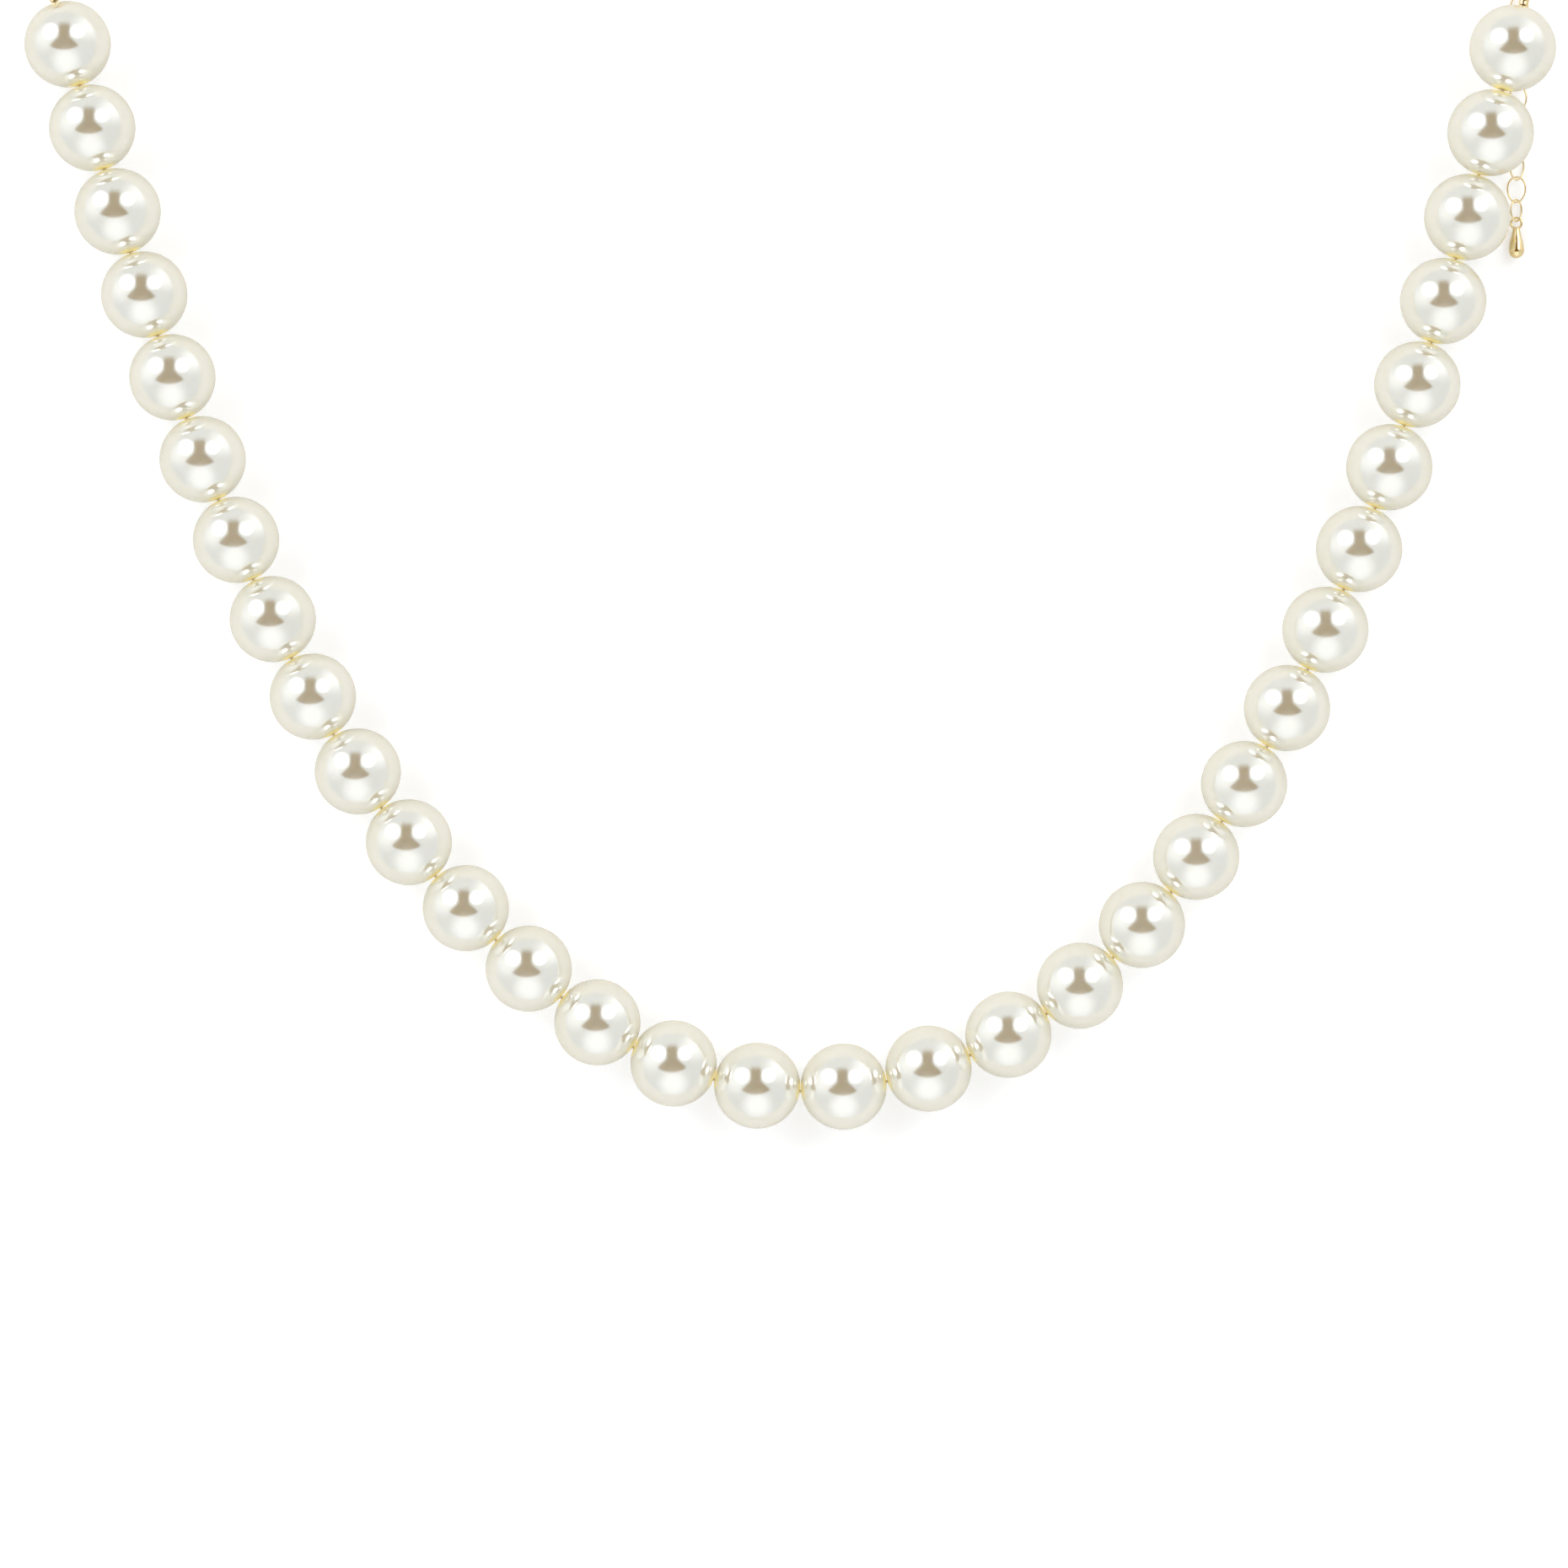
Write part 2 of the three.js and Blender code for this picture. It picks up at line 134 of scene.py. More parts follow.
# In metres. The camera looks straight down on a square of this size at the pearls' middle.
VIEW_SIDE = 220.0 * MM
VIEW_CENTRE = Vector((0.7 * MM, -39.1 * MM, 6.0 * MM))
CAMERA_HEIGHT = 900.0 * MM
CLIP = (0.01, 20.0)
SENSOR = 36.0
# Edges sharper than this look sharp. A face whose normal is nearer to Z than LEVEL is flat.
SHARP_ANGLE = math.radians(40)
LEVEL = 0.9999


def camera():
    data = bpy.data.cameras.new("camera")
    data.sensor_width = SENSOR
    data.lens = SENSOR * CAMERA_HEIGHT / VIEW_SIDE
    data.clip_start, data.clip_end = CLIP
    made = bpy.data.objects.new("camera", data)
    made.location = VIEW_CENTRE + Vector((0, 0, CAMERA_HEIGHT))
    bpy.context.collection.objects.link(made)
    bpy.context.scene.camera = made


# ---------------------------------------------------------------- node graphs


class Graph:
    """Short names for building a node tree."""

    def __init__(self, owner):
        owner.use_nodes = True
        self.tree = owner.node_tree
        self.tree.nodes.clear()

    def node(self, kind, inputs=None, **settings):
        made = self.tree.nodes.new(kind)
        for name, value in settings.items():
            setattr(made, name, value)
        for name, value in (inputs or {}).items():
            self.put(made.inputs[name], value)
        return made

    def put(self, socket, value):
        if isinstance(value, bpy.types.NodeSocket):
            self.tree.links.new(value, socket)
        else:
            socket.default_value = value

    def math(self, operation, a, b=0.0):
        return self.node("ShaderNodeMath", {0: a, 1: b}, operation=operation).outputs[0]

    def smooth(self, value, start, end, low=0.0, high=1.0):
        """A value that goes smoothly from low at start to high at end. Start is the lesser."""
        ends = {"From Min": start, "From Max": end, "To Min": low, "To Max": high}
        settings = {"Value": value, **ends}
        made = self.node("ShaderNodeMapRange", settings, interpolation_type="SMOOTHSTEP")
        return made.outputs["Result"]

    def mix(self, factor, a, b):
        made = self.node("ShaderNodeMix", data_type="RGBA")
        self.put(made.inputs[0], factor)
        self.put(made.inputs[6], a)
        self.put(made.inputs[7], b)
        return made.outputs[2]

    def noise(self, vector, scale, detail=2.0, roughness=0.5):
        settings = {"Vector": vector, "Scale": scale, "Detail": detail, "Roughness": roughness}
        return self.node("ShaderNodeTexNoise", settings).outputs["Fac"]


def rgba(red, green, blue):
    return (red, green, blue, 1.0)


# ---------------------------------------------------------------- the studio

# What surrounds the necklace is given as a ball lying on the floor would mirror it to an eye
# straight above: x and y run from -1 to 1 across the ball. Two round lamps stand left and right of
# the camera, with weak glows about them, and the camera's stand is the dark bell between them.
LAMPS = [
    {"x": -0.345, "y": 0.255, "size": 0.15, "soft": 0.4, "power": 2.0},
    {"x": 0.265, "y": 0.25, "size": 0.13, "soft": 0.5, "power": 2.0},
]
GLOWS = [
    {"x": 0.5, "y": 0.42, "size": 0.24, "soft": 0.9, "power": 0.5},
    {"x": -0.5, "y": 0.12, "size": 0.22, "soft": 0.9, "power": 0.35},
    {"x": 0.0, "y": -0.45, "size": 0.28, "soft": 0.6, "power": 0.42},
]
# The bell's column widens by "flare" from the upper to the lower height of "waist". Its top and its
# foot fade out between two heights, and the foot's rim rises by "curve" times the square of x.
BELL = {
    "x": -0.03,
    "column": 0.12,
    "flare": 0.21,
    "waist": (-0.1, 0.16),
    "edge": 0.05,
    "top": (0.34, 0.52),
    "foot": (-0.22, -0.15),
    "curve": 0.9,
}
DOME_COLOR = rgba(0.72, 0.75, 0.77)
BELL_COLOR = rgba(0.19, 0.1, 0.02)
WHITE = rgba(1.0, 1.0, 1.0)
BACKDROP_COLOR = rgba(0.93, 0.93, 0.93)
FLOOR_REACH = 2.5
FLOOR_COLORS = (rgba(0.91, 0.92, 0.95), rgba(0.93, 0.935, 0.96))
FLOOR_MIRRORED = rgba(0.94, 0.92, 0.865)
FLOOR_GLOW = 0.34


def round_patch(graph, across, up, patch):
    """1 within a round patch and 0 outside it, with a soft rim between."""
    dx = graph.math("DIVIDE", graph.math("SUBTRACT", across, patch["x"]), patch["size"])
    dy = graph.math("DIVIDE", graph.math("SUBTRACT", up, patch["y"]), patch["size"])
    squared = graph.math("ADD", graph.math("MULTIPLY", dx, dx), graph.math("MULTIPLY", dy, dy))
    distance = graph.math("SQRT", squared)
    return graph.smooth(distance, 1.0 - patch["soft"], 1.0 + patch["soft"], 1.0, 0.0)


def bell_patch(graph, across, up):
    """1 within the bell and 0 outside it."""
    flare = graph.smooth(up, *BELL["waist"], BELL["flare"], 0.0)
    width = graph.math("ADD", flare, BELL["column"])
    side = graph.math("ABSOLUTE", graph.math("SUBTRACT", across, BELL["x"]))
    inside = graph.math("DIVIDE", graph.math("SUBTRACT", width, side), BELL["edge"])
    inside = graph.smooth(inside, -1.0, 1.0)
    below_top = graph.smooth(up, *BELL["top"], 1.0, 0.0)
    sag = graph.math("MULTIPLY", graph.math("MULTIPLY", side, side), BELL["curve"])
    level = graph.math("SUBTRACT", up, sag)
    above_foot = graph.smooth(level, *BELL["foot"])
    return graph.math("MULTIPLY", inside, graph.math("MULTIPLY", below_top, above_foot))


def studio():
    """The world: what the necklace mirrors, and a plain backdrop for the camera."""
    world = bpy.data.worlds.new("studio")
    graph = Graph(world)
    direction = graph.node("ShaderNodeTexCoord").outputs["Generated"]
    lifted = graph.node("ShaderNodeVectorMath", {0: direction, 1: (0, 0, 1)}, operation="ADD")
    mirror = graph.node("ShaderNodeVectorMath", {0: lifted.outputs[0]}, operation="NORMALIZE")
    parts = graph.node("ShaderNodeSeparateXYZ", {0: mirror.outputs[0]})
    across = parts.outputs["X"]
    up = parts.outputs["Y"]
    light = graph.mix(bell_patch(graph, across, up), DOME_COLOR, BELL_COLOR)
    for patch in LAMPS + GLOWS:
        glow = graph.math("MULTIPLY", round_patch(graph, across, up, patch), patch["power"])
        added = graph.node("ShaderNodeVectorMath", {0: glow, 1: WHITE[:3]}, operation="MULTIPLY")
        total = graph.node("ShaderNodeVectorMath", {0: light, 1: added.outputs[0]}, operation="ADD")
        light = total.outputs[0]
    seen = graph.node("ShaderNodeLightPath").outputs["Is Camera Ray"]
    light = graph.mix(seen, light, BACKDROP_COLOR)
    background = graph.node("ShaderNodeBackground", {"Color": light, "Strength": 1.0})
    graph.node("ShaderNodeOutputWorld", {"Surface": background.outputs[0]})
    bpy.context.scene.world = world
    bpy.context.scene.view_settings.view_transform = "Standard"


def floor():
    """A white table, lit a little from below where the camera looks at it, as on a light box."""
    corners = [(-1, -1, 0), (1, -1, 0), (1, 1, 0), (-1, 1, 0)]
    mesh = bpy.data.meshes.new("floor")
    mesh.from_pydata([FLOOR_REACH * Vector(c) for c in corners], [], [(0, 1, 2, 3)])
    made = bpy.data.objects.new("floor", mesh)
    bpy.context.collection.objects.link(made)
    material = bpy.data.materials.new("floor")
    graph = Graph(material)
    place = graph.node("ShaderNodeTexCoord").outputs["Object"]
    tone = graph.smooth(graph.noise(place, 9.0), 0.3, 0.7)
    color = graph.mix(tone, *FLOOR_COLORS)
    seen = graph.node("ShaderNodeLightPath").outputs["Is Camera Ray"]
    color = graph.mix(seen, FLOOR_MIRRORED, color)
    table = graph.node("ShaderNodeBsdfDiffuse", {"Color": color})
    strength = graph.math("MULTIPLY", seen, FLOOR_GLOW)
    glow = graph.node("ShaderNodeEmission", {"Color": WHITE, "Strength": strength})
    both = graph.node("ShaderNodeAddShader", {0: table.outputs[0], 1: glow.outputs[0]})
    graph.node("ShaderNodeOutputMaterial", {"Surface": both.outputs[0]})
    mesh.materials.append(material)


# ---------------------------------------------------------------- materials


NACRE_COLORS = (rgba(0.86, 0.82, 0.64), rgba(0.9, 0.86, 0.7))
NACRE_IOR = 8.0
NACRE_ROUGHNESS = (0.07, 0.11)
# Painted light round the bore, between these two distances from the pearl's middle: a yellow
# colour, weaker gloss and a glow for light through and between the pearls where they touch.
PAINTED_GLOW_BETWEEN = (0.94 * PEARL_RADIUS, 0.995 * PEARL_RADIUS)
PAINTED_GLOW_BASE_COLOR = rgba(0.95, 0.87, 0.5)
PAINTED_GLOW_IOR = 1.6
PAINTED_GLOW_COLOR = rgba(1.0, 0.82, 0.35)
PAINTED_GLOW_STRENGTH = 0.16


def nacre():
    """Pearl lacquer: a cream body under a bright, colourless, slightly blurred sheen."""
    material = bpy.data.materials.new("nacre")
    graph = Graph(material)
    place = graph.node("ShaderNodeTexCoord").outputs["Object"]
    cloud = graph.smooth(graph.noise(place, 160.0, 3.0), 0.35, 0.65)
    along = graph.node("ShaderNodeSeparateXYZ", {0: place}).outputs["Y"]
    height = graph.math("ABSOLUTE", along)
    # Painted light: yellow colour, weaker gloss and glow near the bores, where pearls touch.
    painted_glow = graph.smooth(height, *PAINTED_GLOW_BETWEEN)
    color = graph.mix(painted_glow, graph.mix(cloud, *NACRE_COLORS), PAINTED_GLOW_BASE_COLOR)
    streak = graph.noise(place, 900.0, 4.0, 0.6)
    rough = graph.smooth(streak, 0.3, 0.7, *NACRE_ROUGHNESS)
    ripple = graph.noise(place, 420.0, 2.0)
    settings = {"Height": ripple, "Strength": 0.05, "Distance": 0.05 * MM}
    bump = graph.node("ShaderNodeBump", settings)
    shader = graph.node(
        "ShaderNodeBsdfPrincipled",
        {
            "Base Color": color,
            "Roughness": rough,
            "IOR": graph.smooth(height, *PAINTED_GLOW_BETWEEN, NACRE_IOR, PAINTED_GLOW_IOR),
            "Normal": bump.outputs[0],
            "Emission Strength": graph.math("MULTIPLY", painted_glow, PAINTED_GLOW_STRENGTH),
        },
    )
    shader.inputs["Emission Color"].default_value = PAINTED_GLOW_COLOR
    shader.inputs["Subsurface Weight"].default_value = 0.3
    shader.inputs["Subsurface Radius"].default_value = (1.0, 0.85, 0.5)
    shader.inputs["Subsurface Scale"].default_value = 1.2 * MM
    graph.node("ShaderNodeOutputMaterial", {"Surface": shader.outputs[0]})
    return material


def metal(name, dark, light, roughness, grain):
    """Polished metal with faint polishing marks and a slight change of tone."""
    material = bpy.data.materials.new(name)
    graph = Graph(material)
    place = graph.node("ShaderNodeTexCoord").outputs["Object"]
    tone = graph.smooth(graph.noise(place, 700.0, 3.0), 0.3, 0.7)
    color = graph.mix(tone, rgba(*dark), rgba(*light))
    marks = graph.noise(place, grain, 4.0, 0.7)
    rough = graph.smooth(marks, 0.3, 0.7, 0.75 * roughness, 1.3 * roughness)
    settings = {"Height": marks, "Strength": 0.12, "Distance": 0.01 * MM}
    bump = graph.node("ShaderNodeBump", settings)
    shader = graph.node(
        "ShaderNodeBsdfPrincipled",
        {"Base Color": color, "Roughness": rough, "Normal": bump.outputs[0]},
    )
    shader.inputs["Metallic"].default_value = 1.0
    graph.node("ShaderNodeOutputMaterial", {"Surface": shader.outputs[0]})
    return material


# The finishes, under the names of the record's slots.
MATERIALS = {
    "pearl": nacre(),
    "gold": metal("gold", (0.93, 0.73, 0.38), (0.98, 0.83, 0.52), 0.09, 3000.0),
    "beading_wire": metal("beading_wire", (0.62, 0.5, 0.3), (0.75, 0.64, 0.42), 0.3, 5000.0),
    "spring_steel": metal("spring_steel", (0.55, 0.55, 0.54), (0.66, 0.66, 0.64), 0.3, 4000.0),
}


# ---------------------------------------------------------------- shapes


def face_outwards(mesh):
    """Turns a closed mesh's faces round if they look inwards."""
    shell = bmesh.new()
    shell.from_mesh(mesh)
    if shell.calc_volume(signed=True) < 0:
        bmesh.ops.reverse_faces(shell, faces=shell.faces)
        shell.to_mesh(mesh)
    shell.free()


def shade(mesh):
    """Smooth, apart from sharp edges and the level faces of flat pieces."""
    mesh.shade_smooth()
    mesh.set_sharp_from_angle(angle=SHARP_ANGLE)
    for face in mesh.polygons:
        if abs(face.normal.z) > LEVEL:
            face.use_smooth = False


def new_piece(name, shape, slot):
    """A closed mesh of a shape's points and faces, in the finish of a slot."""
    points, faces = shape
    mesh = bpy.data.meshes.new(name)
    mesh.from_pydata([tuple(p) for p in points], [], faces)
    mesh.validate()
    face_outwards(mesh)
    shade(mesh)
    mesh.materials.append(MATERIALS[slot])
    made = bpy.data.objects.new(name, mesh)
    bpy.context.collection.objects.link(made)
    return made


def assign(made, body, node):
    """Hangs a piece on the body it rides on, and hides the CAD part that it stands for."""
    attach(made, body)
    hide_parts(node)


def add(name, shape, slot, body, node):
    assign(new_piece(name, shape, slot), body, node)


def ring_faces(rings, sides, closed):
    """The quads between rings of points, and the flat ends if the tube is open."""
    faces = []
    for i in range(rings if closed else rings - 1):
        for j in range(sides):
            a = i * sides + j
            b = i * sides + (j + 1) % sides
            c = ((i + 1) % rings) * sides + (j + 1) % sides
            d = ((i + 1) % rings) * sides + j
            faces.append((a, b, c, d))
    if not closed:
        faces.append(tuple(reversed(range(sides))))
        faces.append(tuple(range((rings - 1) * sides, rings * sides)))
    return faces


def sweep(path, radius, closed, sides=16, normal=None):
    """A round wire along a path of points that lies in the plane with this normal."""
    points = []
    count = len(path)
    for i, place in enumerate(path):
        before = path[i - 1] if closed or i > 0 else place
        after = path[(i + 1) % count] if closed or i < count - 1 else place
        along = (after - before).normalized()
        side = (normal or Vector((0, 0, 1))).cross(along).normalized()
        up = along.cross(side)
        for j in range(sides):
            angle = 2 * math.pi * j / sides
            points.append(place + radius * (math.cos(angle) * side + math.sin(angle) * up))
    return points, ring_faces(count, sides, closed)


def lathe(profile, sides, closed=True):
    """A profile of (radius, height) turned about Y. An open one is shut by flat ends."""
    points = []
    for radius, height in profile:
        for j in range(sides):
            angle = 2 * math.pi * j / sides
            points.append(Vector((radius * math.cos(angle), height, -radius * math.sin(angle))))
    return points, ring_faces(len(profile), sides, closed)


def spline(points, steps):
    """A smooth curve through points, with so many steps from each one to the next."""
    path = []
    last = len(points) - 1
    for i in range(last):
        a, b, c, d = (points[min(max(i + k, 0), last)] for k in (-1, 0, 1, 2))
        for step in range(steps):
            t = step / steps
            square = (2 * a - 5 * b + 4 * c - d) * t**2
            cube = (3 * b - a - 3 * c + d) * t**3
            path.append(0.5 * (2 * b + (c - a) * t + square + cube))
    return path + [points[-1]]


def bezier(controls, steps):
    """A curve from the first of four points to the last, drawn towards the other two."""
    a, b, c, d = (Vector(p) for p in controls)
    path = []
    for step in range(steps + 1):
        t = step / steps
        u = 1 - t
        path.append(u**3 * a + 3 * u * u * t * b + 3 * u * t * t * c + t**3 * d)
    return path


def arc(centre, radius, start, end, steps):
    path = []
    for step in range(steps + 1):
        angle = start + (end - start) * step / steps
        path.append(Vector(centre) + radius * Vector((math.cos(angle), math.sin(angle))))
    return path


def corner(start, tip, end, steps):
    """A curve from start to end that rounds the corner at the tip."""
    path = []
    for step in range(steps + 1):
        t = step / steps
        path.append((1 - t) ** 2 * start + 2 * t * (1 - t) * tip + t * t * end)
    return path


def crossing(first, first_radius, second, second_radius):
    """Where two circles meet, on the left of the line from the first centre to the second."""
    apart = second - first
    length = apart.length
    reach = (length**2 + first_radius**2 - second_radius**2) / (2 * length)
    side = math.sqrt(first_radius**2 - reach**2)
    return first + (reach * apart + side * Vector((-apart.y, apart.x))) / length


def eased(corners, radius, steps=5):
    """A flat outline with its corners rounded."""
    path = []
    count = len(corners)
    for i, tip in enumerate(corners):
        before, after = corners[i - 1], corners[(i + 1) % count]
        reach = min(radius, 0.45 * (tip - before).length, 0.45 * (tip - after).length)
        start = tip + reach * (before - tip).normalized()
        end = tip + reach * (after - tip).normalized()
        path += corner(start, tip, end, steps)
    return path


def plate(outline, thickness, rim, depth, steps=6):
    """A flat piece in X and Y with a rounded rim, from an outline given counter-clockwise."""
    count = len(outline)
    outward = []
    for i in range(count):
        along = (outline[(i + 1) % count] - outline[i - 1]).normalized()
        outward.append(Vector((along.y, -along.x)))
    levels = []
    for step in range(steps + 1):
        angle = math.pi / 2 * step / steps
        height = thickness / 2 - depth * (1 - math.cos(angle))
        levels.append((rim * (1 - math.sin(angle)), height))
    levels = [(inset, -height) for inset, height in levels] + levels[::-1]
    points = []
    for inset, height in levels:
        for place, out in zip(outline, outward):
            flat = place - inset * out
            points.append(Vector((flat.x, flat.y, height)))
    return points, ring_faces(len(levels), count, False)


def placed(matrix, shape):
    points, faces = shape
    return [matrix @ p for p in points], faces


def joined(first, second):
    points, faces = first
    more, extra = second
    return points + more, faces + [tuple(i + len(points) for i in face) for face in extra]


def carve(piece, tools):
    """Joins other pieces to a piece or cuts them out of it, and then removes them."""
    for operation, tool in tools:
        change = piece.modifiers.new(operation, "BOOLEAN")
        change.operation = operation
        change.object = tool
    evaluated = piece.evaluated_get(bpy.context.evaluated_depsgraph_get())
    mesh = bpy.data.meshes.new_from_object(evaluated)
    shade(mesh)
    piece.modifiers.clear()
    piece.data = mesh
    for _, tool in tools:
        bpy.data.objects.remove(tool)


def node_points(name):
    return np.array([v.co for v in frame["nodes"][name].data.vertices])


class Lie:
    """How a flat CAD piece lies: its middle, its three directions and its half sizes."""

    def __init__(self, name, towards=(0, 1, 0)):
        corners = node_points(name)
        mean = corners.mean(axis=0)
        axes = np.linalg.svd(corners - mean, full_matrices=False)[2]
        if axes[0] @ np.array(towards) < 0:
            axes[0] = -axes[0]
        axes[2] = np.cross(axes[0], axes[1])
        spans = (corners - mean) @ axes.T
        low, high = spans.min(axis=0), spans.max(axis=0)
        self.middle = Vector(mean + (low + high) / 2 @ axes)
        self.long, self.cross, self.flat = (Vector(axis) for axis in axes)
        self.half = [float(h) for h in (high - low) / 2]

    def point(self, across, along):
        """A point in the piece's plane, from its middle."""
        return self.middle + across * self.cross + along * self.long


def box_middle(node):
    low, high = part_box(node)
    return (Vector(low) + Vector(high)) / 2


JOINT_PLACES = {joint["child"]: Vector(joint["pos_m"]) for joint in frame["joints"]}


# ---------------------------------------------------------------- the strand


def pearl_name(index):
    return f"pearl_{index:02d}"


# The pearl that is the frame's root has no joint of its own. The others hang on it either way.
ROOT_PEARL = next(i for i in range(1, PEARL_COUNT + 1) if pearl_name(i) not in JOINT_PLACES)


def gap_place(index):
    """The middle of the gap between pearl index and the next one, where their joint is."""
    return JOINT_PLACES[pearl_name(index if index < ROOT_PEARL else index + 1)]


def pearl_profile():
    """A ball's outline from one end of its bore to the other, with the bore's edges rounded."""
    profile = []
    reach = BORE_RADIUS + BORE_LIP
    # The lip is a small arc that meets both the ball and the bore. This is its centre's height.
    lip_height = math.sqrt((PEARL_RADIUS - BORE_LIP) ** 2 - reach**2)
    meet = math.atan2(reach, lip_height)
    for i in range(PEARL_BANDS + 1):
        angle = meet + (math.pi - 2 * meet) * i / PEARL_BANDS
        profile.append((PEARL_RADIUS * math.sin(angle), PEARL_RADIUS * math.cos(angle)))
    lip = []
    for i in range(1, LIP_STEPS + 1):
        turn = math.pi / 2 - meet + (math.pi / 2 + meet) * i / LIP_STEPS
        lip.append((reach + BORE_LIP * math.cos(turn), lip_height + BORE_LIP * math.sin(turn)))
    return profile + [(radius, -height) for radius, height in lip] + lip[::-1]


def strand():
    """The pearls share one mesh, and each is turned further about its bore."""
    balls = [new_piece(f"{pearl_name(1)}_ball", lathe(pearl_profile(), PEARL_SIDES), "pearl")]
    for index in range(2, PEARL_COUNT + 1):
        ball = bpy.data.objects.new(f"{pearl_name(index)}_ball", balls[0].data)
        bpy.context.collection.objects.link(ball)
        balls.append(ball)
    for index, ball in enumerate(balls, 1):
        name = pearl_name(index)
        middle = box_middle(name)
        if index < PEARL_COUNT:
            ahead = gap_place(index) - middle
        else:
            ahead = middle - gap_place(index - 1)
        turn = ahead.to_track_quat("Y", "Z").to_matrix().to_4x4()
        spin = Matrix.Rotation(index * PEARL_SPIN, 4, "Y")
        ball.matrix_world = Matrix.Translation(middle) @ turn @ spin
        assign(ball, name, name)


def threads():
    """A length of wire from each pearl's middle to the next one's, which bends at the gap."""
    for index in range(1, PEARL_COUNT):
        here, beyond = pearl_name(index), pearl_name(index + 1)
        start, gap, end = box_middle(here), gap_place(index), box_middle(beyond)
        path = [start.lerp(gap, t / 6) for t in range(6)]
        path += [gap.lerp(end, t / 6) for t in range(7)]
        shape = sweep(path, THREAD_RADIUS, False, THREAD_SIDES)
        made = new_piece(f"thread_{index:02d}_{index + 1:02d}", shape, "beading_wire")
        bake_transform(made)
        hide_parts("strand_thread")


def strand_end(pearl):
    """Where the strand leaves its first or last pearl, and the direction in which it goes on."""
    middle = box_middle(pearl)
    gap = gap_place(1) if pearl == pearl_name(1) else gap_place(PEARL_COUNT - 1)
    outward = (middle - gap).normalized()
    return middle + (middle - gap), outward


def crimp_shape():
    """A short barrel about Y, squeezed flat in its middle on the wire."""
    bore = CRIMP["bore"]
    profile = [(bore, 0.04), (bore + CRIMP["lip"], 0.0)]
    profile += [(part * CRIMP["radius"], height) for part, height in CRIMP_OUTLINE]
    mirrored = [(radius, 1 - height) for radius, height in profile[-2::-1]]
    inside = [(bore, 1 - step / 6) for step in range(1, 6)]
    length = CRIMP["length"] * MM
    turned = [(radius * MM, height * length) for radius, height in profile + mirrored + inside]
    points, faces = lathe(turned, 40)
    for point in points:
        squeeze = CRIMP["squeeze"] * math.sin(math.pi * point.y / length) ** 2
        point.z *= 1 - squeeze
        point.x *= 1 + 0.25 * squeeze
    return points, faces


def strand_ends():
    for side, pearl in (("left", pearl_name(1)), ("right", pearl_name(PEARL_COUNT))):
        face, outward = strand_end(pearl)
        turn = outward.to_track_quat("Y", "Z").to_matrix().to_4x4()
        start = face + CRIMP["gap"] * MM * outward
        barrel = placed(Matrix.Translation(start) @ turn, crimp_shape())
        add(f"crimp_{side}_barrel", barrel, "gold", pearl, f"crimp_{side}")
        finish = start + (CRIMP["length"] - FIT_GAP) * MM * outward
        path = [box_middle(pearl).lerp(finish, t / 8) for t in range(9)]
        wire = sweep(path, THREAD_RADIUS, False, THREAD_SIDES)
        add(f"thread_end_{side}", wire, "beading_wire", pearl, "strand_thread")


def wire_loops():
    """A pear-shaped loop of wire beyond each crimp, whose two legs run into the crimp."""
    for end, pearl in (("clasp", pearl_name(1)), ("extender", pearl_name(PEARL_COUNT))):
        lie = Lie(f"{end}_wire_loop", strand_end(pearl)[1])
        length = 2 * lie.half[0] - LOOP["wire"] * MM
        side = [(LOOP["legs"] * MM, 0.0)]
        side += [(x * LOOP["half_width"] * MM, y * length) for x, y in LOOP_OUTLINE]
        legs = [(part * side[0][0], -LOOP["sunk"] * MM) for part in (0.7, -0.7)]
        outline = [legs[0], *side, (0.0, length), *[(-x, y) for x, y in reversed(side)], legs[1]]
        path = spline([lie.point(x, y - lie.half[0]) for x, y in outline], 9)
        shape = sweep(path, LOOP["wire"] * MM, False, 16, lie.flat)
        add(f"{end}_loop", shape, "beading_wire", pearl, f"{end}_wire_loop")


# ---------------------------------------------------------------- rings, chain and drop


def open_oval(lie, half_width, half_length, wire, taper, slit_at, slit):
    """A round wire bent into an oval in the lie's plane, with a slit where its ends meet."""
    half_slit = slit / (half_width + half_length)
    steps = 64
    path = []
    for step in range(steps + 1):
        angle = slit_at + half_slit + (2 * math.pi - 2 * half_slit) * step / steps
        across = half_width * (1 + taper * math.sin(angle)) * math.cos(angle)
        path.append(lie.point(across * MM, half_length * math.sin(angle) * MM))
    return sweep(path, wire * MM, False, 20, lie.flat)


def jump_rings():
    for end, ring in RINGS.items():
        name = f"{end}_jump_ring"
        lie = Lie(name)
        away = (lie.middle - box_middle(ring["pearl"])).normalized() + Vector((0, 0, 1))
        slit_at = math.atan2(away.dot(lie.long), away.dot(lie.cross))
        radius = ring["radius"]
        shape = open_oval(lie, radius, radius, ring["wire"], 0.0, slit_at, RING_SLIT)
        add(f"{name}_wire", shape, "gold", name, name)


def chain():
    """The extender's links, and the small one that holds the drop."""
    names = [f"extender_link_{index:02d}" for index in range(1, LINK_COUNT + 1)]
    for name, link in [(name, LINK) for name in names] + [("drop_link", DROP_LINK)]:
        size = (link["half_width"], link["half_length"], link["wire"], link["taper"])
        shape = open_oval(Lie(name), *size, 0.0, LINK_SLIT)
        add(f"{name}_wire", shape, "gold", name, name)


